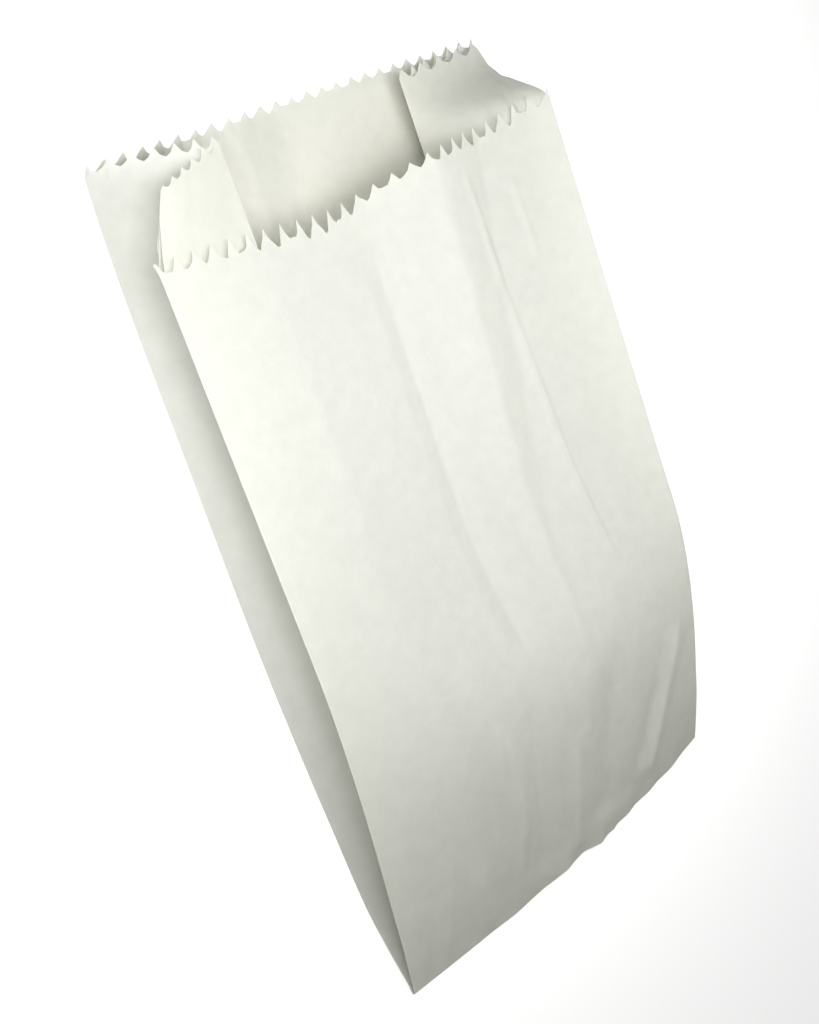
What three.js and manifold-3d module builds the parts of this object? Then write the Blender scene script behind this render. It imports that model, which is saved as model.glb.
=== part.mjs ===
// A white grease-resistant paper bag for hot takeaway food, in millimetres, +Z up.
// One web of thin paper is folded into a flat tube with a pleated gusset down each side, closed by
// a glued seam down the back, and its foot is folded over as a hem and glued. A toothed knife cuts
// the mouth, and it cuts the front sheet shorter than the back, which leaves a lip to open it by.
// The bag lies on its back sheet with its mouth towards +Y, a little open, as if just filled with air.
// It is one piece of paper, so it is one solid.
import * as THREE from "three";
import { mergeVertices } from "three/addons/utils/BufferGeometryUtils.js";
import Module from "manifold-3d";

// The folded web
const panelWidth = 140; // front and back sheets, from side fold to side fold
const bagLength = 240; // from the folded foot to the tips of the back sheet's teeth
const gussetHalf = 35; // one half of a gusset, from a side fold to the pleat's centre crease
const paper = 0.3; // wall; real paper is thinner, about 0.06
const layerPitch = 0.5; // from one folded layer to the next where the bag is pressed flat
const glueBite = 0.03; // how far a glued layer reaches into the one it is glued to

// The hem at the foot
const hemLength = 18;
const hemThickness = 0.5; // the folded-under layers, glued together
const glueDepth = 5; // how far all layers are glued solid above the foot
const hemRamp = 16; // length over which the back sheet comes down from the hem to the table

// The glued seam down the back sheet, measured from the left fold
const seamEdge = 61.5; // free edge of the overlapping strip, seen through the mouth
const seamOverlap = 14;

// The toothed cut at the mouth
const toothPitch = 5.6;
const toothDepth = 3.5;
const lipDropLeft = 27.5; // how much lower the front sheet is cut than the back, at each fold
const lipDropRight = 22;
const lipSag = 5; // the front cut also dips towards the back seam
const leftStep = 2; // how far the lower cut runs round each fold on to the gusset
const rightStep = 8;
const stepRise = 12; // the right one climbs by this much before it jumps up to the full length
const gussetLean = 0.42; // a layer's cut edge draws back by this share of its height

// How far the bag stands open
const leftRise = 15; // front sheet's folds above the table
const rightRise = 23;
const leftCrease = 12; // gussets' centre creases above the table
const rightCrease = 4.5;
const flapFlare = 3; // the left gusset's free corner curls up above its fold
const flapDroop = 2.5; // height to which the right one's free corner sinks, on to the back sheet
const openLength = 92; // from the foot to where the sides reach their full height
const openPower = 1.6; // how roundly they rise

// The front sheet's swells and hollows across its width, at the mouth
const plateauHeight = 14.3; // over the left gusset
const hollowHeight = 11.4; // along the line that the back seam has pressed into it
const shoulderHeight = 20.5; // the ridge beside the hollow
const shoulderPlace = 91;
const dipHeight = 17; // over the right gusset
const dipPlace = 122;
const bellyHeight = 5; // the even swell further down, where the ridge and hollow have died away
const ridgeStart = 48; // height on the bag at which the ridge starts, and at which it is full
const ridgeFull = 120;

// Creases pressed into the front sheet above the foot when it was folded. Each runs from one place to
// another, is so wide to each side, and stands up so far at most, or sinks where that is negative.
const footCreases = [
  { from: [40, 92], to: [52, 18], width: 9, height: 1.2 },
  { from: [62, 74], to: [57, 4], width: 9, height: -1.4 },
  { from: [96, 66], to: [84, 4], width: 9, height: -1.5 },
  { from: [76, 46], to: [72, 2], width: 7, height: 1.5 },
  { from: [134, 56], to: [108, 6], width: 8, height: 1.8 },
];

const stackTop = hemThickness + 3 * layerPitch + paper; // top of the pressed layers at the foot
const frontBase = hemThickness + 3 * layerPitch + paper / 2; // middle of the front sheet there

const ease = (t) => THREE.MathUtils.smoothstep(t, 0, 1);
const mix = THREE.MathUtils.lerp;

// How far open the bag is at a place along it, from 0 at the glued foot to 1.
function openness(y, length = openLength) {
  const along = THREE.MathUtils.clamp((y - glueDepth) / (length - glueDepth), 0, 1);
  return 1 - (1 - along) ** openPower;
}

// Middle of the back sheet, which lies on the table and climbs over the hem at the foot.
function backHeight(y) {
  return paper / 2 + hemThickness * (1 - ease((y - hemLength) / hemRamp));
}

// Middle of the front sheet at its two folds.
function foldHeight(side, y) {
  const rise = side === "left" ? leftRise : rightRise;
  return mix(frontBase, rise, openness(y));
}

// A place measured inwards from the left or the right fold.
const sideX = (side, inward) => (side === "left" ? inward : panelWidth - inward);

// Where a gusset's centre crease lies: in from the fold, and above the table.
function crease(side, y) {
  const low = backHeight(y) + layerPitch;
  const full = side === "left" ? leftCrease : rightCrease;
  const height = mix(low, Math.max(full, low), openness(y));
  return { inset: Math.sqrt(gussetHalf ** 2 - (height - low) ** 2), height };
}

// The front sheet's section at the mouth, eased from each named place to the next.
const mouthSection = [
  [0, leftRise],
  [0.08 * panelWidth, plateauHeight],
  [0.32 * panelWidth, plateauHeight],
  [seamEdge - 0.6 * seamOverlap, hollowHeight],
  [seamEdge, hollowHeight],
  [shoulderPlace, shoulderHeight],
  [dipPlace, dipHeight],
  [panelWidth, rightRise],
];

function mouthHeight(x) {
  const next = Math.max(1, mouthSection.findIndex(([place]) => place >= x));
  const [[x0, z0], [x1, z1]] = [mouthSection[next - 1], mouthSection[next]];
  return mix(z0, z1, ease((x - x0) / (x1 - x0)));
}

// Middle of the front sheet. It swells evenly near the foot, and takes the mouth's section further up.
function frontHeight(x, y) {
  const across = x / panelWidth;
  const swell = Math.sin(Math.PI * across);
  const even = mix(leftRise, rightRise, across) + bellyHeight * swell;
  const shaped = mouthHeight(x);
  const full = mix(even, shaped, ease((y - ridgeStart) / (ridgeFull - ridgeStart)));
  const smoothSheet = mix(frontBase, full, openness(y, mix(openLength, 0.8 * openLength, swell)));
  return smoothSheet + footCreases.reduce((sum, line) => sum + creaseLift(line, x, y), 0);
}

// How far a crease lifts the sheet at a place: a straight tent that tapers off at both its ends.
function creaseLift({ from, to, width, height }, x, y) {
  const run = new THREE.Vector2(to[0] - from[0], to[1] - from[1]);
  const place = new THREE.Vector2(x - from[0], y - from[1]);
  const along = place.dot(run) / run.lengthSq();
  const aside = Math.abs(place.cross(run)) / run.length();
  const ends = ease(3 * along) * ease(3 * (1 - along));
  return height * ends * Math.max(0, 1 - aside / width);
}

// The tips of the front sheet's cut.
function frontCut(x) {
  const across = x / panelWidth;
  const sag = lipSag * Math.sin(Math.PI * Math.min(1, (0.5 * x) / seamEdge));
  return bagLength - mix(lipDropLeft, lipDropRight, across) - sag;
}

// How much of the right gusset, measured from its fold, the lower cut has taken away at a height.
const cutAway = (y) => rightStep * ease((y - frontCut(panelWidth)) / stepRise);

// A place on a gusset's front half, inward being measured along it from the front fold. Above the lip
// it is free along the fold: the left one curls up, and the right one droops and spreads outwards.
function gussetFrontPoint(side, inward, y) {
  const { inset, height } = crease(side, y);
  const lip = frontCut(sideX(side, 0));
  const gone = side === "right" ? cutAway(y) : 0;
  const share = THREE.MathUtils.clamp((inward - gone) / (gussetHalf - gone), 0, 1);
  const free = ease((y - lip) / (side === "right" ? stepRise : bagLength - lip));
  const fold = foldHeight(side, y) - layerPitch;
  const top = side === "right" ? mix(fold, flapDroop, free) : fold + flapFlare * free;
  return [sideX(side, inset * share), mix(top, height + layerPitch, share)];
}

// One run of the wall across the section: where it is at a share of its length, which way its outer
// face looks up or down, which way its two ends look left or right, and where the mouth cuts it.

const backSheet = {
  width: panelWidth,
  point: (share, y) => [share * panelWidth, backHeight(y)],
  up: -1,
  ends: [-1, 1],
  cut: () => bagLength,
};

const frontSheet = {
  width: panelWidth,
  point: (share, y) => [(1 - share) * panelWidth, frontHeight((1 - share) * panelWidth, y)],
  up: 1,
  ends: [1, -1],
  cut: (share) => frontCut((1 - share) * panelWidth),
};

// From the back fold in to the crease.
function gussetBack(side) {
  return {
    width: gussetHalf,
    point(share, y) {
      const { inset, height } = crease(side, y);
      return [sideX(side, share * inset), mix(backHeight(y) + layerPitch, height, share)];
    },
    up: 1,
    ends: side === "left" ? [-1, -1] : [1, 1],
    cut(share) {
      return bagLength - gussetLean * share * crease(side, bagLength).height;
    },
  };
}

// From the crease out to the front fold.
function gussetFront(side) {
  const step = side === "left" ? leftStep : rightStep;
  const climb = side === "left" ? 0 : stepRise;
  return {
    width: gussetHalf,
    point: (share, y) => gussetFrontPoint(side, (1 - share) * gussetHalf, y),
    up: -1,
    ends: side === "left" ? [-1, -1] : [1, 1],
    cut(share) {
      const inward = (1 - share) * gussetHalf;
      if (inward < step) return frontCut(sideX(side, 0)) + (climb * inward) / step;
      return bagLength - gussetLean * gussetFrontPoint(side, inward, bagLength)[1];
    },
  };
}

// The same run, walked the other way.
const reversed = (run) => ({
  ...run,
  point: (share, y) => run.point(1 - share, y),
  ends: [run.ends[1], run.ends[0]],
  cut: (share) => run.cut(1 - share),
});

// The runs once round the tube, starting at the back sheet's left fold.
const runs = [
  backSheet,
  gussetBack("right"),
  gussetFront("right"),
  frontSheet,
  reversed(gussetFront("left")),
  reversed(gussetBack("left")),
];

// The columns of the tube's grid: one on each tooth's tip and each notch.
const columns = runs.flatMap((run) => {
  const steps = 2 * Math.round(run.width / toothPitch);
  return Array.from({ length: steps + 1 }, (_, i) => {
    const share = i / steps;
    const sideways = i === 0 ? run.ends[0] : i === steps ? run.ends[1] : 0;
    return { run, share, sideways, notch: i % 2 === 0 };
  });
});

// The rows: heights up the bag that all columns share, then a last stretch up to each column's cut.
const rowHeights = [1, glueDepth, 10, 15, 20, 26, 32, 39, 47, 56, 66, 78, 92, 114, 145, 180];
const lastShared = bagLength - lipDropLeft - lipSag - toothDepth - 4;
const rows = [...rowHeights.filter((y) => y < lastShared - 8), lastShared];
const cutRows = [0.5, 1];

// A point of the wall: face is 1 on its outer face and -1 on its inner one.
function wallPoint(column, y, face) {
  const { run, share, sideways } = column;
  const [x, z] = run.point(share, y);
  const off = (face * paper) / 2;
  return new THREE.Vector3(x + off * sideways, y, z + off * run.up);
}

function columnPoints(column, face) {
  const top = column.run.cut(column.share) - (column.notch ? toothDepth : 0);
  const shared = rows.map((y) => wallPoint(column, y, face));
  const last = cutRows.map((part) => wallPoint(column, mix(lastShared, top, part), face));
  return [...shared, ...last];
}

// The tube's wall as one closed surface: up its outer face, over the rim, and down its inner face.
function tubeGeometry() {
  const loops = columns.map((column) => [
    ...columnPoints(column, 1),
    ...columnPoints(column, -1).reverse(),
  ]);
  const positions = [];
  const quad = (a, b, c, d) => {
    for (const p of [a, b, c, a, c, d]) positions.push(p.x, p.y, p.z);
  };
  loops.forEach((loop, i) => {
    const beside = loops[(i + 1) % loops.length];
    loop.forEach((point, j) => {
      const next = (j + 1) % loop.length;
      quad(point, loop[next], beside[next], beside[j]);
    });
  });
  const geometry = new THREE.BufferGeometry();
  return geometry.setAttribute("position", new THREE.Float32BufferAttribute(positions, 3));
}

// A profile drawn in the YZ plane and extruded along X from the left fold.
function extrudeAcross(shape, width, fromX) {
  const geometry = new THREE.ExtrudeGeometry(shape, {
    depth: width,
    bevelEnabled: false,
    curveSegments: 5,
  });
  const turn = new THREE.Matrix4().makeBasis(
    new THREE.Vector3(0, 1, 0),
    new THREE.Vector3(0, 0, 1),
    new THREE.Vector3(1, 0, 0),
  );
  return geometry.applyMatrix4(turn).translate(fromX, 0, 0);
}

// The foot: all layers pressed, glued and rounded at the fold.
function footGeometry() {
  const round = stackTop / 2;
  const shape = new THREE.Shape();
  shape.moveTo(round, 0);
  shape.lineTo(glueDepth, 0);
  shape.lineTo(glueDepth, stackTop);
  shape.lineTo(round, stackTop);
  shape.absarc(round, round, round, Math.PI / 2, (3 * Math.PI) / 2, false);
  return extrudeAcross(shape, panelWidth, 0);
}

// The hem, tucked under the back sheet and glued to it. Its edge has the teeth of the same knife.
function hemGeometry() {
  const outline = new THREE.Shape();
  outline.moveTo(0, layerPitch);
  outline.lineTo(panelWidth, layerPitch);
  const teeth = Math.round(panelWidth / toothPitch);
  for (let i = 2 * teeth; i >= 0; i -= 1) {
    outline.lineTo((i * panelWidth) / (2 * teeth), hemLength - (i % 2) * toothDepth);
  }
  const settings = { depth: hemThickness + glueBite, bevelEnabled: false };
  return new THREE.ExtrudeGeometry(outline, settings);
}

// The strip of the back seam that lies over the other edge of the web, cut with the same teeth.
function seamGeometry() {
  const left = seamEdge - seamOverlap;
  const foot = hemLength + hemRamp;
  const teeth = columns.filter(({ run, share }) => {
    const x = share * panelWidth;
    return run === backSheet && x > left && x < seamEdge;
  });
  const outline = new THREE.Shape();
  outline.moveTo(left, foot);
  outline.lineTo(seamEdge, foot);
  const corner = (x) => bagLength - toothDepth * backDrop(x);
  outline.lineTo(seamEdge, corner(seamEdge));
  for (const { share, notch } of teeth.reverse()) {
    outline.lineTo(share * panelWidth, bagLength - (notch ? toothDepth : 0));
  }
  outline.lineTo(left, corner(left));
  const settings = { depth: paper + glueBite, bevelEnabled: false };
  return new THREE.ExtrudeGeometry(outline, settings).translate(0, 0, paper - glueBite);
}

// How far down a tooth the back sheet's cut is at a place across it, from 0 at a tip to 1 at a notch.
function backDrop(x) {
  const teeth = Math.round(panelWidth / toothPitch);
  return Math.abs(1 - 2 * (((x / panelWidth) * teeth) % 1));
}

const wasm = await Module();
wasm.setup();

function solid(geometry) {
  const plain = new THREE.BufferGeometry();
  plain.setAttribute("position", geometry.getAttribute("position"));
  plain.setIndex(geometry.index);
  const merged = mergeVertices(plain, 1e-4);
  return new wasm.Manifold(
    new wasm.Mesh({
      numProp: 3,
      vertProperties: new Float32Array(merged.getAttribute("position").array),
      triVerts: new Uint32Array(merged.index.array),
    }),
  );
}

function geometryOf(manifold) {
  const mesh = manifold.getMesh();
  const geometry = new THREE.BufferGeometry();
  geometry.setAttribute("position", new THREE.BufferAttribute(mesh.vertProperties, 3));
  geometry.setIndex(new THREE.BufferAttribute(mesh.triVerts, 1));
  geometry.computeVertexNormals();
  return geometry;
}

const whitePaper = new THREE.MeshStandardMaterial({
  color: 0xf2f3ea,
  roughness: 0.72,
  metalness: 0,
});

const layers = [tubeGeometry(), footGeometry(), hemGeometry(), seamGeometry()];
const bagSolid = wasm.Manifold.union(layers.map(solid));
const bag = new THREE.Mesh(geometryOf(bagSolid), whitePaper);
bag.name = "bag";
bag.position.set(-panelWidth / 2, -bagLength / 2, 0);

const model = new THREE.Group();
model.add(bag);

export default model;
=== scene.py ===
import bpy
import numpy as np
from mathutils import Matrix, Vector


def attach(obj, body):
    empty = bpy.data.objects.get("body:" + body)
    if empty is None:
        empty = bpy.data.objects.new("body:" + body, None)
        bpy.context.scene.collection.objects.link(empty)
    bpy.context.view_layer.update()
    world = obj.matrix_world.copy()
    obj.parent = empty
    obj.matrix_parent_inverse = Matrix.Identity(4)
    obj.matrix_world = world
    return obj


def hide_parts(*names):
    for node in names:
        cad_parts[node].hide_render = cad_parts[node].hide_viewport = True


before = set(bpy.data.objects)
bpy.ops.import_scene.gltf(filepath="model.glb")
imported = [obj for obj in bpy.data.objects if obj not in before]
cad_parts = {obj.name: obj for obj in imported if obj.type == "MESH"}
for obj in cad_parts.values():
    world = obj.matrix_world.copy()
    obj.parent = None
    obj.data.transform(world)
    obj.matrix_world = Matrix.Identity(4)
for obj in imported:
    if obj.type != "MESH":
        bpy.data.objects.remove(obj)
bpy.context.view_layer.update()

# The paper web. One strip of thin greaseproof paper, folded into a flat tube with a pleated gusset down
# each side, glued in a lengthwise seam down the back, and folded under and glued at its foot. A toothed
# knife cuts the mouth, the front sheet lower than the back, which leaves a lip to open it by.
MM = 0.001
PANEL = 140.0  # sizes are in millimetres: x from the left fold, y from the foot, z up from the table
LENGTH = 240.0
GUSSET = 35.0
PAPER = 0.1
LAYER = 0.16  # from one pressed layer to the next
NOSE = 0.06  # how far a fold's rounded back stands out
SEAM_EDGE = 61.6
SEAM_OVERLAP = 14.0
HEM = 18.0
HEM_STACK = 4 * LAYER  # the hem's four layers, under the back sheet
HEM_RAMP = 14.0  # over which the back sheet comes down from the hem to the table
TOOTH = 5.6

# How far the bag stands open: heights of the front sheet's folds and of the gussets' centre creases, how
# far up from the foot they reach them, how far in the creases lie there, and the front sheet's swell.
LEFT_RISE, LEFT_REACH = 15.0, 102.0
RIGHT_RISE, RIGHT_REACH = 23.0, 86.0
LEFT_CREASE, LEFT_INSET = 12.6, 31.0
RIGHT_CREASE, RIGHT_INSET = 4.6, 37.0
BELLY, BELLY_REACH = 5.0, 84.0
RIDGE_STARTS, RIDGE_FULL = 48.0, 120.0
OPEN_POWER = 1.6  # how roundly the sheets come apart


def ease(t):
    """0 to 1 with a soft start and end."""
    t = np.clip(t, 0.0, 1.0)
    return t * t * (3.0 - 2.0 * t)


def mix(a, b, t):
    """From a at 0 to b at 1."""
    return a + (b - a) * t


def curve(x, places, values):
    """A smooth line through a few given places."""
    x = np.asarray(x, float)
    places, values = np.asarray(places, float), np.asarray(values, float)
    i = np.clip(np.searchsorted(places, x) - 1, 0, len(places) - 2)
    slopes = np.gradient(values, places)
    h = places[i + 1] - places[i]
    t = np.clip((x - places[i]) / h, 0.0, 1.0)
    rise = values[i] * (2 * t**3 - 3 * t**2 + 1) + values[i + 1] * (3 * t**2 - 2 * t**3)
    return rise + slopes[i] * h * (t**3 - 2 * t**2 + t) + slopes[i + 1] * h * (t**3 - t**2)


def opened(y, reach):
    """How far the sheets have come apart, from 0 at the foot to 1 at reach."""
    return 1.0 - (1.0 - np.clip(y / reach, 0.0, 1.0)) ** OPEN_POWER


def back_height(y):
    """The back sheet lies on the table and climbs over the hem at the foot."""
    return HEM_STACK * (1.0 - ease((y - HEM) / HEM_RAMP))


def fold_height(side, y):
    """Height of the fold between the front sheet and a gusset."""
    rise, reach = (LEFT_RISE, LEFT_REACH) if side == "left" else (RIGHT_RISE, RIGHT_REACH)
    return mix(3 * LAYER + back_height(y), rise, opened(y, reach))


def left_bow(y):
    """How far the back sheet's left fold bows outwards."""
    return curve(y, [0, 20, 60, 97, 160, 226, 240], [0, -2.6, -4.2, -4.8, -3.6, -1.2, 0])


# Creases in the front sheet, each from one place to another. The first four run down from the mouth,
# and columns of the mesh follow them. The others were pressed in above the foot when it was folded:
# from, to, width to each side, and height, which is negative for a hollow.
HOLLOW = ((67.2, 212), (65.5, 72))
RIDGE = ((91.47, 214), (86, 62))
FINE_RIDGE = ((101.73, 214), (110, 84))
SHORT_CREASE = ((120.4, 202), (121.4, 176))
FOOT_CREASES = [
    (((40, 92), (52, 18)), 9.0, 1.2),
    (((61, 70), (57, 4)), 10.0, -1.3),
    (((52, 44), (47, 10)), 4.0, 0.7),
    (((98, 64), (88, 6)), 12.0, -1.9),
    (((76, 44), (72, 2)), 6.0, 1.2),
    (((134, 56), (108, 6)), 7.0, 1.8),
    (((122, 40), (104, 12)), 6.0, -1.0),
    (((25, 40), (14, 4)), 6.0, 0.7),
    (((30, 24), (34, 2)), 4.0, 0.8),
]

# Kinks in the foot's glued edge, where all the layers are bent up together: place across the bag, width
# to each side, how far up the bag the kink runs out, and how far its edge stands off the table.
KINKS = [
    (42, 9, 12, 0.5),
    (66, 10, 12, 2.0),
    (83, 6, 13, 1.9),
    (90, 4, 8, 1.2),
    (98, 6, 10, 1.1),
    (110, 7, 9, 0.6),
    (124, 8, 12, 0.7),
]


def along(line, x, y):
    """Place along a line, 0 to 1, and the distance from it."""
    (x0, y0), (x1, y1) = line
    dx, dy = x1 - x0, y1 - y0
    size = np.hypot(dx, dy)
    return ((x - x0) * dx + (y - y0) * dy) / size**2, ((x - x0) * dy - (y - y0) * dx) / size


def crease(line, x, y, width, height, fade=0.3):
    """How far a straight crease lifts the sheet. It grows out of the sheet and ends more sharply."""
    t, aside = along(line, x, y)
    ends = ease(t / fade) * ease((1.0 - t) / (fade / 3.0))
    return height * ends * np.clip(1.0 - np.abs(aside) / width, 0.0, 1.0) ** 1.2


def on_line(line, y):
    """Where a line that runs up the bag is, at a height."""
    (x1, y1), (x0, y0) = line
    return mix(x0, x1, np.clip((y - y0) / (y1 - y0), 0.0, 1.0))


def follow(x, y):
    """Draw the front sheet's columns along its four long creases."""
    lines = [HOLLOW, RIDGE, FINE_RIDGE, SHORT_CREASE]
    at_mouth = [0.0] + [line[0][0] for line in lines] + [PANEL]
    here = [0.0 * y] + [on_line(line, y) for line in lines] + [0.0 * y + PANEL]
    placed = 0.0 * x
    for k in range(len(at_mouth) - 1):
        t = (x - at_mouth[k]) / (at_mouth[k + 1] - at_mouth[k])
        inside = (t > 0) & (t <= 1)
        placed = np.where(inside, mix(here[k], here[k + 1], t), placed)
    return placed


# The front sheet's height across the mouth, without the ridge that stands beside its hollow.
MOUTH_PLACES = [0, 13, 25, 36, 47, 56, 63, 69, 77, 91.5, 108, 119, 130, 136, 140]
MOUTH_HEIGHTS = [15, 14.4, 14.0, 13.6, 13.2, 12.6, 12.2, 12.4, 13.4, 15.0, 16.6, 17.0, 18.4, 20.4, 23]
CREST = 5.6  # the ridge, at the mouth
CREST_LEFT, CREST_RIGHT = 24.0, 21.0  # how wide its two slopes are there
CREST_ROUND = 1.5  # and how round its top


def front_height(x, y):
    """Height of the front sheet: even and swollen low down, ridged and hollow towards the mouth."""
    across = x / PANEL
    swell = np.sin(np.pi * across)
    even = mix(LEFT_RISE, RIGHT_RISE, across) + BELLY * swell
    shaped = curve(x, MOUTH_PLACES, MOUTH_HEIGHTS)
    full = mix(even, shaped, ease((y - RIDGE_STARTS) / (RIDGE_FULL - RIDGE_STARTS)))
    low = 3 * LAYER + back_height(y)
    reach = curve(x, [0, 70, 140], [LEFT_REACH, BELLY_REACH, RIGHT_REACH])
    z = mix(low, full, opened(y, reach))
    grown = np.clip((y - RIDGE[1][1]) / (RIDGE[0][1] - RIDGE[1][1]), 0.0, 1.0)
    aside = x - on_line(RIDGE, y)
    width = np.where(aside < 0, CREST_LEFT, CREST_RIGHT) * np.maximum(grown, 0.05)
    tent = np.clip(1.0 - np.sqrt(aside**2 + (CREST_ROUND * grown) ** 2) / width, 0.0, 1.0)
    z = z + CREST * grown * tent
    z = z + crease(HOLLOW, x, y, 6.0, -1.3, 0.25)
    z = z + crease(FINE_RIDGE, x, y, 2.4, 0.55, 0.2)
    z = z + crease(SHORT_CREASE, x, y, 2.4, 0.4)
    for line, width, height in FOOT_CREASES:
        z = z + crease(line, x, y, width, height)
    return np.maximum(z, low)


def tooth(x):
    """The knife's tooth at a place, 0 at its tip and 1 in the valley, the rounder of the two."""
    return np.abs(np.sin(np.pi * x / TOOTH)) ** 0.85


def uneven(x):
    """How much of its depth a tooth keeps, which differs as the paper tore or curled."""
    return 1.0 + 0.14 * np.sin(1.9 * x) + 0.1 * np.sin(0.7 * x + 1.0)


FRONT_TIPS = (
    [0, 14, 25, 36, 60, 75, 97, 119, 140],
    [212.2, 212, 211.4, 210.6, 209.4, 211.6, 215, 216.6, 219.4],
)
FRONT_DEPTHS = (
    [0, 20, 45, 58, 66, 75, 86, 96, 110, 140],
    [3.0, 4.2, 5.0, 4.6, 3.4, 2.6, 2.5, 3.8, 4.4, 3.8],
)


def front_cut(x):
    """Where the front sheet is cut: its teeth's tips, less the depth of a tooth."""
    return curve(x, *FRONT_TIPS) - curve(x, *FRONT_DEPTHS) * uneven(x) * tooth(x)


def back_cut(x):
    """Where the back sheet is cut, straight across."""
    depth = curve(x, [0, 40, 75, 110, 140], [3.4, 3.0, 2.4, 2.4, 3.0])
    return LENGTH - depth * uneven(x + 31.0) * tooth(x)


CURL = 5.0  # how far below the cut the back's teeth start to curl


def tip_curl(x, y):
    """How far the curled tips of the back's teeth draw back and stand up."""
    curled = curve(x, [0, 30, 60, 100, 140], [2.4, 2.0, 0.9, 0.4, 0.5]) * uneven(0.6 * x)
    bent = curled * (np.clip(y - (LENGTH - CURL), 0.0, None) / CURL) ** 2
    return 0.4 * bent, bent


# The seam's strip is not glued up to the mouth. Its loose corner is bent up along a slanting line, and
# its edge wanders to the left on the way down.
GLUE_ENDS, LOOSE_WHOLLY = 150.0, 210.0
CORNER = 34.0  # how far down from the cut the bend slants
BEND_SLANT, BEND_RISE, EDGE_SLANT = 0.27, 0.13, 0.11


def back_sheet(x, y, over):
    """The back sheet; over is 1 on the strip that overlaps in the seam."""
    glued_from = SEAM_EDGE - SEAM_OVERLAP
    lift = over * LAYER * ease((x - glued_from + 4.0) / 4.0)
    down = np.clip(LENGTH - 3.0 - y, 0.0, CORNER)
    bend = np.maximum(glued_from, SEAM_EDGE - 0.5 - BEND_SLANT * down)
    loose = ease((y - GLUE_ENDS) / (LOOSE_WHOLLY - GLUE_ENDS))
    lift = lift + over * loose * BEND_RISE * np.clip(x - bend, 0.0, None)
    wander = over * EDGE_SLANT * down * loose * ease((x - glued_from) / SEAM_OVERLAP)
    back, up = tip_curl(x, y)
    return x - wander + left_bow(y) * (1.0 - ease(x / 60.0)), y - back, back_height(y) + lift + up


def pleat(side, y):
    """Where a gusset's centre crease lies: in from the fold, and how high."""
    if side == "left":
        full, inset, reach = LEFT_CREASE, LEFT_INSET, LEFT_REACH
    else:
        full, inset, reach = RIGHT_CREASE, RIGHT_INSET, RIGHT_REACH
    share = opened(y, reach)
    return mix(GUSSET, inset, share), mix(back_height(y) + 1.5 * LAYER, full, share)


LEFT_ARCH = 1.8  # how roundly the left gusset's back half stands
RIGHT_SAG = 0.6  # how far the right one's hangs through


def gusset_back(side, x, y):
    """The half beside the back sheet; x is how far in from the fold when the bag is flat."""
    inset, height = pleat(side, y)
    t = x / GUSSET
    low = back_height(y) + LAYER
    sag = RIGHT_SAG * np.sin(np.pi * t) * opened(y, 100.0) if side == "right" else 0.0
    share = 1.0 - (1.0 - t) ** LEFT_ARCH if side == "left" else t
    z = np.maximum(mix(low, height, share) - sag, low)
    out = inset * t + left_bow(y) * (1 - t) if side == "left" else PANEL - inset * t
    back, up = tip_curl(out, y)
    return out, y - back, z + up


# The right gusset's free edge above the lip, as height up the bag, place in from the fold, and height
# above the table: it droops from the front sheet's corner to the back's.
RIGHT_EDGE = (
    [216, 218, 220, 223.5, 226, 229.4, 239],
    [0, 0.6, 1.8, 4.2, 6.2, 8.0, 9.5],
    [23, 22.6, 20.4, 14, 9, 5, 2],
)
RIGHT_STEP = 9.5  # how far in from the fold that edge ends
# The left one's flap lifts and folds inwards from the lip up, and its fold bulges out just above it.
FLAP_FROM, FLAP_OVER, FLAP_UP, FLAP_IN = 209.0, 22.0, 2.6, 6.0
BULGE_AT, BULGE_LONG, BULGE_WIDE, BULGE_DOWN, BULGE_OUT = 215.5, 4.0, 3.0, 1.2, 1.8


def gusset_front(side, x, y):
    """The half under the front sheet. Above the lip nothing holds it."""
    inset, height = pleat(side, y)
    t = x / GUSSET
    place = inset * t
    out = place if side == "left" else PANEL - place
    z = mix(fold_height(side, y), height + 0.5 * LAYER, t)
    under = front_height(out, y) - 0.4 - 0.8 * ease((y - 60) / 60.0) * ease(t / 0.1)
    z = np.where(t > 0, np.minimum(z, under), z)
    if side == "left":
        free = ease((y - FLAP_FROM) / FLAP_OVER) * (1 - t) ** 1.5
        bulge = np.exp(-(((y - BULGE_AT) / BULGE_LONG) ** 2)) * np.exp(-((x / BULGE_WIDE) ** 2))
        z = z + FLAP_UP * free - BULGE_DOWN * bulge
        out = out + FLAP_IN * free - BULGE_OUT * bulge
    else:
        ups, ins, heights = RIGHT_EDGE
        edge = curve(y, ups, ins)
        share = np.clip((x - edge) / (GUSSET - edge), 0.0, 1.0)
        free = ease((y - 214.0) / 4.0)
        z = mix(z, mix(curve(y, ups, heights), height + 0.5 * LAYER, share), free)
        out = mix(out, PANEL - inset * share, free)
    return out, y, np.maximum(z, back_height(y) + 1.8 * LAYER)


NICK = 3.0  # depth of the gussets' teeth
LEFT_STEP = 2.5  # how far the front's low cut runs round the left fold


def cut_of(run, x):
    """Where a run is cut; x is its place across a sheet, or how far in from its fold in a gusset."""
    if run == "front":
        return front_cut(x)
    if run in ("back", "seam"):
        return back_cut(x)
    side, half = run
    nick = NICK * tooth(x)
    if half == "back":
        return LENGTH - (4.5 if side == "left" else 3.0) * x / GUSSET - nick
    if side == "right":
        low = np.interp(x, RIGHT_EDGE[1], RIGHT_EDGE[0]) - 0.35 * nick
        return np.where(x < RIGHT_STEP, low, LENGTH - 1.0 - 2.0 * (x / GUSSET) - nick)
    low = front_cut(0.0) - 0.6 * nick
    high = LENGTH - 13.0 + 8.5 * x / GUSSET - mix(0.25, 1.0, x / GUSSET) * nick
    return mix(low, high, ease((x - LEFT_STEP) / 1.5 + 0.5))


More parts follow.
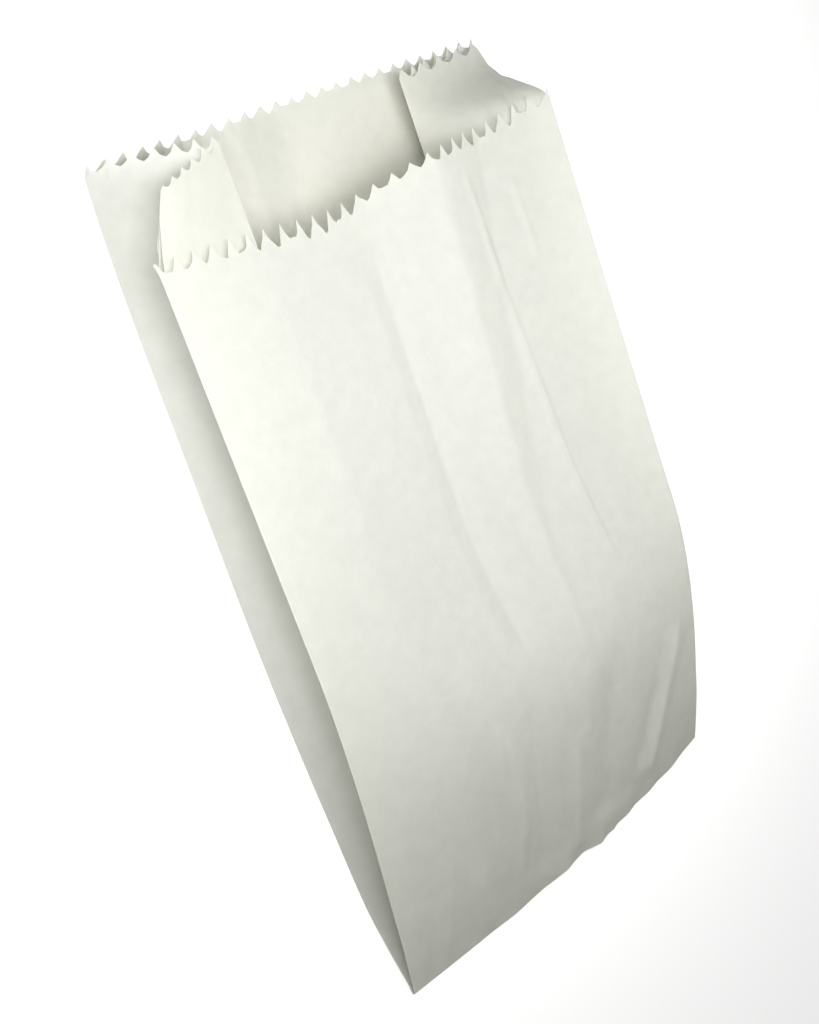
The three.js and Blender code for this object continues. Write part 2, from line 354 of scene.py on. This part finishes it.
def kinked(x, y):
    """How far the kinks lift all the layers."""
    lift = 0.0 * x
    for place, width, reach, height in KINKS:
        side = np.clip(1.0 - np.abs(x - place - 0.3 * y) / width, 0.0, 1.0)
        lift = np.maximum(lift, height * side * np.clip(1.0 - y / reach, 0.0, 1.0))
    return lift


def run_points(run, x, y):
    """Where a run's places lie in the open bag."""
    if run == "front":
        x = follow(x + 0 * y, y + 0 * x)
        return x, y, front_height(x, y)
    if run in ("back", "seam"):
        return back_sheet(x, y, 1 if run == "seam" else 0)
    side, half = run
    return (gusset_back if half == "back" else gusset_front)(side, x + 0 * y, y)


def steps(start, end, per_tooth):
    """Columns from one place to another, some on each tooth's tip and valley."""
    count = max(2, round(abs(end - start) / TOOTH * per_tooth))
    return np.linspace(start, end, count + 1)


# The web's runs in their order round the tube, each with the places of its columns, the layer that it
# makes in the hem, and which way the fold after it points: outwards at a side, inwards at a pleat.
RUNS = [
    ("seam", steps(SEAM_EDGE, 0, 4), 0, (-1, 1)),
    (("left", "back"), steps(0, GUSSET, 4), 1, (1, -1)),
    (("left", "front"), steps(GUSSET, 0, 4), 2, (-1, 1)),
    ("front", steps(0, PANEL, 6), 3, (1, 1)),
    (("right", "front"), steps(0, GUSSET, 4), 2, (-1, -1)),
    (("right", "back"), steps(GUSSET, 0, 4), 1, (1, 1)),
    ("back", steps(PANEL, SEAM_EDGE - SEAM_OVERLAP, 4), 0, None),
]
LAST_SHARED = 196.0
ROWS = np.concatenate([np.arange(0, 70, 1.25), np.linspace(70, LAST_SHARED, 49)])
TOP_ROWS = np.linspace(0, 1, 13)[1:]
HEM_ROWS = np.array([HEM, 12.0, 6.0, 1.0])
FOOT_BULGE = [0, 30, 55, 70, 84, 100, 118, 140], [0, -2.2, -3.4, -3.0, -4.4, -3.6, -2.6, 0]
FOOT_BULGE_ENDS = 45.0


def run_grid(run, places, layer):
    """One run's middle surface, from the hem's edge round the foot and up to the cut."""
    x = places[:, None]
    top = cut_of(run, x)
    shared = np.repeat(ROWS[None, :], len(x), 0)
    y = np.concatenate([shared, mix(LAST_SHARED, top, TOP_ROWS[None, :])], 1)
    px, py, pz = run_points(run, x, y)
    hem_y = HEM_ROWS[None, :] + 0 * x
    hem_y[:, :1] -= NICK * tooth(x)
    fold_y = 0 * x - 0.3 * (layer + 1) * LAYER
    px = np.concatenate([px[:, :1] + 0 * hem_y, px[:, :1], px], 1)
    py = np.concatenate([hem_y, fold_y, py], 1)
    pz = np.concatenate([0 * hem_y + (3 - layer) * LAYER, 0 * x + 3.5 * LAYER, pz], 1)
    pz = pz + kinked(px, np.maximum(py, 0.0))
    py = py + curve(px, *FOOT_BULGE) * (1.0 - ease(py / FOOT_BULGE_ENDS))
    return np.stack([px, py, pz], -1)


def unit(v):
    """A vector made one long."""
    return v / np.maximum(np.linalg.norm(v, axis=-1, keepdims=True), 1e-9)


# The two faces lie half the paper's thickness to each side of that middle surface, and every fold gets a
# column of its own along its rounded back.
middles, normals = [], []
for number, (run, places, layer, turn) in enumerate(RUNS):
    points = run_grid(run, places, layer)
    middles.append(points)
    normals.append(unit(np.cross(np.gradient(points, axis=0), np.gradient(points, axis=1))))
    if turn:
        sideways, outwards = turn
        following, more, next_layer, _ = RUNS[number + 1]
        beside = run_grid(following, more[:2], next_layer)[:1]
        nose = (points[-1:] + beside) / 2 + [sideways * NOSE, 0, 0]
        middles.append(nose)
        normals.append(0 * nose + [sideways * outwards, 0, 0])
middle, normal = np.concatenate(middles), np.concatenate(normals)
half = PAPER / 2
both_faces = np.stack([middle + half * normal, middle - half * normal])  # the outer one, the inner one
corners = (both_faces - np.array([PANEL / 2, LENGTH / 2, -half])) * MM
outer, inner = np.arange(corners[..., 0].size).reshape(corners.shape[:3])


def quads(a, b, c, d):
    """Four-sided faces from four grids of corners."""
    return np.stack([a, b, c, d], -1).reshape(-1, 4)


faces = np.concatenate(
    [
        quads(outer[:-1, :-1], outer[1:, :-1], outer[1:, 1:], outer[:-1, 1:]),
        quads(inner[:-1, :-1], inner[:-1, 1:], inner[1:, 1:], inner[1:, :-1]),
        quads(outer[:-1, -1], outer[1:, -1], inner[1:, -1], inner[:-1, -1]),
        quads(outer[1:, 0], outer[:-1, 0], inner[:-1, 0], inner[1:, 0]),
        quads(outer[0, 1:], outer[0, :-1], inner[0, :-1], inner[0, 1:]),
        quads(outer[-1, :-1], outer[-1, 1:], inner[-1, 1:], inner[-1, :-1]),
    ]
)

SHARP_FROM = 42  # degrees, so that folds and cut edges stay crisp
mesh = bpy.data.meshes.new("paper_bag")
mesh.from_pydata(corners.reshape(-1, 3).tolist(), [], faces.tolist())
is_inner = mesh.attributes.new("inner_face", "FLOAT", "POINT")
is_inner.data.foreach_set("value", np.repeat([0.0, 1.0], outer.size).astype(np.float32))
mesh.polygons.foreach_set("use_smooth", np.ones(len(mesh.polygons), bool))
mesh.set_sharp_from_angle(angle=np.radians(SHARP_FROM))
paper_bag = bpy.data.objects.new("paper_bag", mesh)
bpy.context.scene.collection.objects.link(paper_bag)


def linear(code):
    """An sRGB hex colour as linear RGBA."""
    parts = [int(code[i : i + 2], 16) / 255 for i in (1, 3, 5)]
    return [c / 12.92 if c <= 0.04045 else ((c + 0.055) / 1.055) ** 2.4 for c in parts] + [1.0]


def add(tree, kind, links=None, **settings):
    """Add a node, set its properties and its sockets' values, and link its inputs."""
    node = tree.nodes.new(kind)
    for name, value in settings.items():
        if hasattr(node, name):
            setattr(node, name, value)
        else:
            node.inputs[name.replace("_", " ")].default_value = value
    for name, source in (links or {}).items():
        tree.links.new(source, node.inputs[name])
    return node


def new_tree(owner):
    owner.use_nodes = True
    owner.node_tree.nodes.clear()
    return owner.node_tree


# Bleached greaseproof paper, hard beaten and calendered: dense and smooth with a low sheen, and cloudy
# where its fibres lie thicker. Its inner face is warmer in tint and painted darker, a painted shade for
# the dim inside of the bag. About half of the light that falls on it comes out on its other side, so a
# layer looks darker where nothing lit lies behind it.
THROUGH = 0.50
CLOUD = 3.85  # size of a cloud in the sheet, in millimetres
FIBRE = 1.11  # a tuft of fibres is really 0.2 to 0.5, and drawn as coarse as it needs to show
greaseproof = bpy.data.materials.new("calendered_greaseproof_paper")
tree = new_tree(greaseproof)
place = add(tree, "ShaderNodeTexCoord").outputs["Object"]
cloud = add(tree, "ShaderNodeTexNoise", {"Vector": place}, Scale=1 / (CLOUD * MM), Detail=6.0)
fibre = add(tree, "ShaderNodeTexNoise", {"Vector": place}, Scale=1 / (FIBRE * MM), Detail=3.0)
for noise in (cloud, fibre):
    noise.inputs["Roughness"].default_value = 0.6
tint = add(tree, "ShaderNodeMix", {"Factor": cloud.outputs["Fac"]}, data_type="RGBA")
tint.inputs["A"].default_value = linear("#e4e6e4")
tint.inputs["B"].default_value = linear("#fafcfa")
# The inner face's colours: a warmer tint, painted darker than the outer face's as painted shade for the
# bag's dim inside.
inner_painted_shade = add(tree, "ShaderNodeMix", {"Factor": cloud.outputs["Fac"]}, data_type="RGBA")
inner_painted_shade.inputs["A"].default_value = linear("#dedfd7")
inner_painted_shade.inputs["B"].default_value = linear("#f2f2ea")
inside = add(tree, "ShaderNodeAttribute", attribute_name="inner_face").outputs["Fac"]
# Inner faces take the darker colour, the painted shade; outer faces take the plain paper colour.
shade = add(tree, "ShaderNodeMix", {"Factor": inside}, data_type="RGBA")
tree.links.new(tint.outputs["Result"], shade.inputs["A"])
tree.links.new(inner_painted_shade.outputs["Result"], shade.inputs["B"])
rough = add(tree, "ShaderNodeMapRange", {"Value": cloud.outputs["Fac"]}, To_Min=0.50, To_Max=0.66)
relief = add(tree, "ShaderNodeBump", {"Height": fibre.outputs["Fac"]}, Strength=0.2, Distance=0.0003)
swell = add(
    tree,
    "ShaderNodeBump",
    {"Height": cloud.outputs["Fac"], "Normal": relief.outputs["Normal"]},
    Strength=0.25,
    Distance=0.0008,
)
surface = add(
    tree,
    "ShaderNodeBsdfPrincipled",
    {
        "Base Color": shade.outputs["Result"],
        "Roughness": rough.outputs["Result"],
        "Normal": swell.outputs["Normal"],
    },
    IOR=1.45,
)
surface.inputs["Specular IOR Level"].default_value = 0.35
through = add(tree, "ShaderNodeBsdfTranslucent")
through.inputs["Color"].default_value = linear("#f7f7f2")
blend = add(tree, "ShaderNodeMixShader", {1: surface.outputs[0], 2: through.outputs[0]})
blend.inputs["Fac"].default_value = THROUGH
add(tree, "ShaderNodeOutputMaterial", {"Surface": blend.outputs[0]})
mesh.materials.append(greaseproof)

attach(paper_bag, "root")
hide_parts("bag")

# The table. A plain white top, which is shown to the camera brighter than the lamps light it, so that it
# reads as white while it keeps the bag's shadow.
TABLE = 3.0  # metres from its middle to its edge
TABLE_GAP = 0.0003  # below the bag, so that the two never share a plane
TABLE_GLOW = 0.7
table_mesh = bpy.data.meshes.new("table")
table_corners = [(-TABLE, -TABLE, 0), (TABLE, -TABLE, 0), (TABLE, TABLE, 0), (-TABLE, TABLE, 0)]
table_mesh.from_pydata(table_corners, [], [(0, 1, 2, 3)])
table = bpy.data.objects.new("table", table_mesh)
bpy.context.scene.collection.objects.link(table)
table.location.z = -TABLE_GAP
white_top = bpy.data.materials.new("white_laminate")
tree = new_tree(white_top)
top_face = add(tree, "ShaderNodeBsdfDiffuse")
top_face.inputs["Color"].default_value = linear("#f2f2f0")
glow = add(tree, "ShaderNodeEmission", Strength=TABLE_GLOW)
rays = add(tree, "ShaderNodeLightPath")
seen = add(
    tree,
    "ShaderNodeMath",
    {0: rays.outputs["Is Camera Ray"], 1: rays.outputs["Is Glossy Ray"]},
    operation="MAXIMUM",
)
lit = add(tree, "ShaderNodeMixShader", {0: seen.outputs[0], 2: glow.outputs[0]})
both = add(tree, "ShaderNodeAddShader", {0: top_face.outputs[0], 1: lit.outputs[0]})
add(tree, "ShaderNodeOutputMaterial", {"Surface": both.outputs[0]})
table_mesh.materials.append(white_top)


# Light. Three soft lamps hang close to the bag: one over its left side, one over its right side, and a
# low one for the strip beside its front sheet. All are turned to its mouth, so that they fall off towards
# its foot, and the camera looks past them. An even pale surround fills in.
def lamp(name, size, energy, at, towards):
    data = bpy.data.lights.new(name, "AREA")
    data.shape = "RECTANGLE"
    data.size, data.size_y = size
    data.energy = energy
    item = bpy.data.objects.new(name, data)
    bpy.context.scene.collection.objects.link(item)
    item.visible_camera = False
    item.location = Vector(at)
    item.rotation_euler = (Vector(towards) - item.location).to_track_quat("-Z", "Y").to_euler()


lamp("key", (0.16, 0.16), 0.36, (-0.12, 0.08, 0.20), (-0.07, 0.17, 0))
lamp("fill", (0.16, 0.16), 0.30, (0.05, 0.02, 0.20), (0.05, 0.08, 0))
lamp("side", (0.16, 0.16), 0.24, (-0.25, 0.05, 0.15), (-0.13, 0.14, 0))

SURROUND = 0.05
surround = bpy.data.worlds.new("surround")
bpy.context.scene.world = surround
tree = new_tree(surround)
soft = add(tree, "ShaderNodeBackground", Strength=SURROUND)
soft.inputs["Color"].default_value = (1, 1, 1, 1)
plain = add(tree, "ShaderNodeBackground", Strength=1.0)
plain.inputs["Color"].default_value = (1, 1, 1, 1)
rays = add(tree, "ShaderNodeLightPath")
seen = add(
    tree,
    "ShaderNodeMath",
    {0: rays.outputs["Is Camera Ray"], 1: rays.outputs["Is Glossy Ray"]},
    operation="MAXIMUM",
)
seen = add(
    tree,
    "ShaderNodeMath",
    {0: seen.outputs[0], 1: rays.outputs["Is Transmission Ray"]},
    operation="MAXIMUM",
)
choice = add(tree, "ShaderNodeMixShader", {0: seen.outputs[0], 1: soft.outputs[0], 2: plain.outputs[0]})
add(tree, "ShaderNodeOutputWorld", {"Surface": choice.outputs[0]})

# The view, from above the bag's left side and a little towards its mouth. The eye's place is measured as
# the sheets are, and the focal length is in pixels of a picture 1024 high.
EYE = np.array([-174.8, 222.3, 295.9]) - np.array([PANEL / 2, LENGTH / 2, 0.0])
RIGHT = Vector((0.6855, -0.3289, 0.6496))
UP = Vector((0.4166, 0.9089, 0.0206))
FOCAL, PICTURE_HIGH = 1373.0, 1024.0
SENSOR = 36.0
camera_data = bpy.data.cameras.new("view")
camera_data.sensor_width = SENSOR
camera_data.lens = SENSOR * FOCAL / PICTURE_HIGH
camera = bpy.data.objects.new("view", camera_data)
bpy.context.scene.collection.objects.link(camera)
BACK = RIGHT.cross(UP)
turn = Matrix((RIGHT, UP, BACK)).transposed().to_4x4()
camera.matrix_world = Matrix.Translation(Vector(EYE * MM)) @ turn
bpy.context.scene.camera = camera

bpy.context.scene.view_settings.view_transform = "Standard"

bpy.context.view_layer.update()
